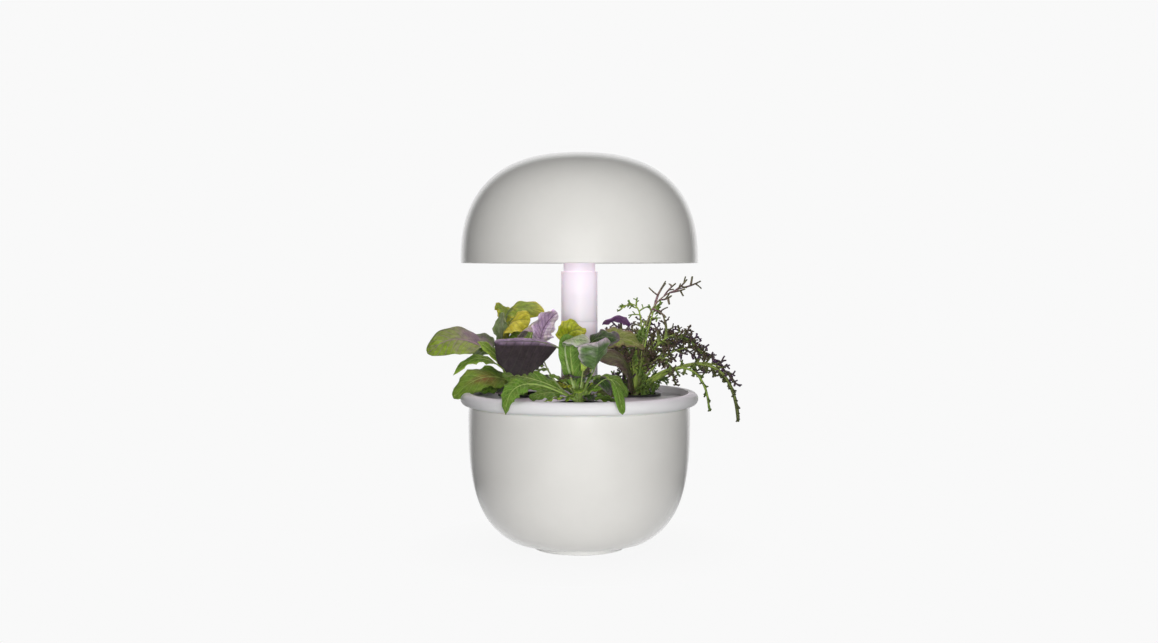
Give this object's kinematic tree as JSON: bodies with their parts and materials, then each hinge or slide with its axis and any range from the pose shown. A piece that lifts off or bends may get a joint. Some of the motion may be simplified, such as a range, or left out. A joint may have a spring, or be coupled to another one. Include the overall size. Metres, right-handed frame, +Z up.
{
  "type": "countertop hydroponic garden",
  "caption": "Round countertop hydroponic garden: glossy water bowl, planting tray with capsules and leafy plants, and a mast of stacked height blocks under a domed grow-light hood.",
  "frame": {"origin": "on the table under the middle of the foot", "axes": "+Z up, -Y towards the viewer (the front), +X to the viewer's right"},
  "size_m": [0.2832, 0.2129, 0.3485],
  "materials": {
    "shell_plastic": "gloss",
    "cover_plastic": "satin",
    "foot_rubber": "matte",
    "rim_plastic": "gloss",
    "mast_plastic": "satin",
    "reflector_plastic": "satin",
    "seal_rubber": "matte",
    "capsule_plastic": "satin",
    "growth_wool": "matte",
    "front_leaves": "satin",
    "left_leaves": "satin",
    "right_leaves": "satin",
    "black_plastic": "satin",
    "pump_plastic": "matte",
    "rotor_plastic": "satin",
    "copper_coil": "satin",
    "steel": "satin",
    "contact_brass": "polished",
    "tube_silicone": "satin",
    "inner_plastic": "satin",
    "float_plastic": "gloss",
    "board_green": "satin",
    "led_board_metal": "satin",
    "sink_aluminium": "satin",
    "lens_clear": "polished",
    "led_white": "gloss",
    "black_wire": "satin",
    "red_wire": "satin",
    "white_wire": "satin"
  },
  "bodies": {
    "base": {"foot_pad": "foot_rubber", "bottom_cover": "cover_plastic", "cover_screws": "steel", "bowl": "shell_plastic", "power_inlet": "black_plastic", "power_board": "board_green", "pump_leads": "black_wire", "pump_stator": "copper_coil", "pump_housing": "pump_plastic", "pump_strainer": "pump_plastic", "pump_shaft": "steel", "riser_tube": "tube_silicone", "power_post": "inner_plastic", "post_seal": "seal_rubber", "post_wires": "red_wire", "post_contacts": "contact_brass"},
    "rotor": {"pump_rotor": "rotor_plastic"},
    "tray": {"rim_seal": "seal_rubber", "tray_rim": "rim_plastic", "planting_tray": "rim_plastic", "distributor": "inner_plastic", "lid_ears": "rim_plastic", "lid_pin": "steel", "float_cage": "inner_plastic", "pod_front": "capsule_plastic", "pod_left": "capsule_plastic", "pod_right": "capsule_plastic", "plug_front": "growth_wool", "plug_left": "growth_wool", "plug_right": "growth_wool", "plant_front": "front_leaves", "plant_left": "left_leaves", "plant_right": "right_leaves", "mast_foot": "mast_plastic", "foot_screws": "steel", "foot_contacts": "contact_brass"},
    "lid": {"fill_lid": "rim_plastic"},
    "float": {"level_float": "float_plastic"},
    "lower_block": {"lower_height_block": "mast_plastic", "lower_block_contacts": "contact_brass"},
    "upper_block": {"upper_height_block": "mast_plastic", "upper_block_contacts": "contact_brass"},
    "hood": {"hood_neck": "mast_plastic", "neck_contacts": "contact_brass", "hood_shell": "shell_plastic", "reflector": "reflector_plastic", "reflector_screws": "steel", "led_lenses": "lens_clear", "leds": "led_white", "led_board": "led_board_metal", "heat_sink": "sink_aluminium", "board_posts": "inner_plastic", "driver_board": "board_green", "hood_lead": "red_wire", "button_board": "board_green", "button_lead": "white_wire"},
    "button": {"control_button": "shell_plastic"}
  },
  "joints": [
    {"name": "pump_rotor_spin", "type": "hinge", "parent": "base", "child": "rotor", "pos_m": [0, -0.038, 0], "axis": [0, 0, 1], "continuous": true},
    {"name": "tray_lift", "type": "slide", "parent": "base", "child": "tray", "axis": [0, 0, 1], "range_m": [0, 0.06]},
    {"name": "fill_lid_hinge", "type": "hinge", "parent": "tray", "child": "lid", "pos_m": [0, 0.0535, 0.1336], "axis": [1, 0, 0], "range_deg": [0, 95]},
    {"name": "level_float_slide", "type": "slide", "parent": "tray", "child": "float", "axis": [0, 0, 1], "range_m": [0, 0.022]},
    {"name": "lower_block_lift", "type": "slide", "parent": "tray", "child": "lower_block", "axis": [0, 0, 1], "range_m": [0, 0.03]},
    {"name": "upper_block_lift", "type": "slide", "parent": "lower_block", "child": "upper_block", "axis": [0, 0, 1], "range_m": [0, 0.03]},
    {"name": "hood_lift", "type": "slide", "parent": "upper_block", "child": "hood", "axis": [0, 0, 1], "range_m": [0, 0.03]},
    {"name": "control_button_press", "type": "slide", "parent": "hood", "child": "button", "axis": [0, 0, -1], "range_m": [0, 0.0008], "stiffness_N_per_m": 400, "springref_m": -0.0008}
  ]
}
